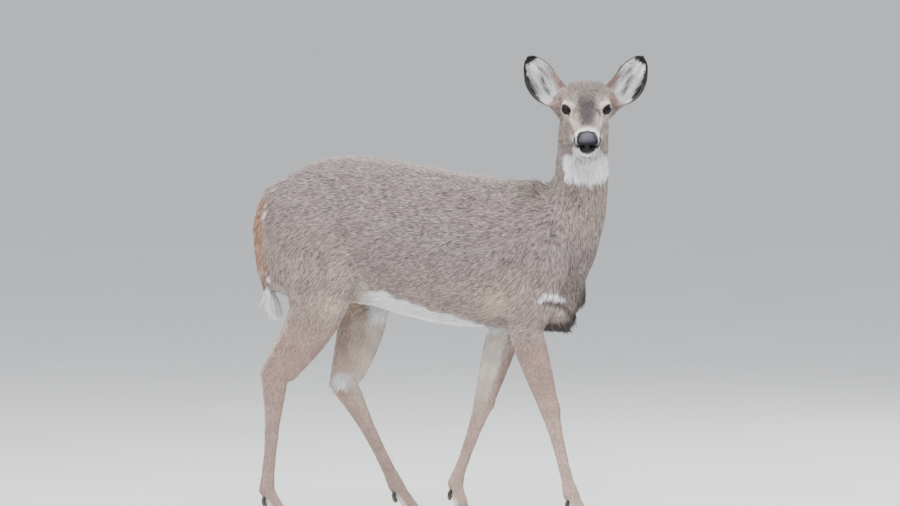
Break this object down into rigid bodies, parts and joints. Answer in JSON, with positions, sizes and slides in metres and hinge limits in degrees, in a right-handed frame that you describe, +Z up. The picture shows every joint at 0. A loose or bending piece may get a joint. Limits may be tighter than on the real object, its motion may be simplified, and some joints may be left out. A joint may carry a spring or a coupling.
{
  "type": "white-tailed deer doe, still model",
  "caption": "Life-size white-tailed doe in mid-stride, body in profile, head turned to her right with both ears pricked.",
  "frame": {"origin": "on the floor, under the middle of the whole animal's box", "axes": "+X towards her chest, +Y to her left, +Z up"},
  "size_m": [0.9928, 0.4059, 1.1788],
  "materials": {
    "coat": "short grey-brown winter coat, fine light and dark grain",
    "legs": "short warm tan hair, white inside",
    "face": "very short grey-brown hair with pale eye rings and chin",
    "ears": "white hair inside, grey-brown outside with dark rims",
    "tail": "russet on top with a long white fringe",
    "eyes": "wet, almost black",
    "nose": "moist pebbled black",
    "horn": "dark smooth horn"
  },
  "bodies": {
    "root": {"trunk": "coat", "neck": "coat", "head": "face", "nose": "nose", "tail": "tail", "ear_left": "ears", "ear_right": "ears", "eye_left": "eyes", "eye_right": "eyes", "front_leg_left_forearm": "legs", "front_leg_left_cannon": "legs", "front_leg_left_foot": "legs", "front_leg_left_hoof_inner": "horn", "front_leg_left_hoof_outer": "horn", "front_leg_left_dewclaw_inner": "horn", "front_leg_left_dewclaw_outer": "horn", "front_leg_right_forearm": "legs", "front_leg_right_cannon": "legs", "front_leg_right_foot": "legs", "front_leg_right_hoof_inner": "horn", "front_leg_right_hoof_outer": "horn", "front_leg_right_dewclaw_inner": "horn", "front_leg_right_dewclaw_outer": "horn", "hind_leg_left_gaskin": "legs", "hind_leg_left_cannon": "legs", "hind_leg_left_foot": "legs", "hind_leg_left_hoof_inner": "horn", "hind_leg_left_hoof_outer": "horn", "hind_leg_left_dewclaw_inner": "horn", "hind_leg_left_dewclaw_outer": "horn", "hind_leg_right_gaskin": "legs", "hind_leg_right_cannon": "legs", "hind_leg_right_foot": "legs", "hind_leg_right_hoof_inner": "horn", "hind_leg_right_hoof_outer": "horn", "hind_leg_right_dewclaw_inner": "horn", "hind_leg_right_dewclaw_outer": "horn"}
  },
  "joints": []
}
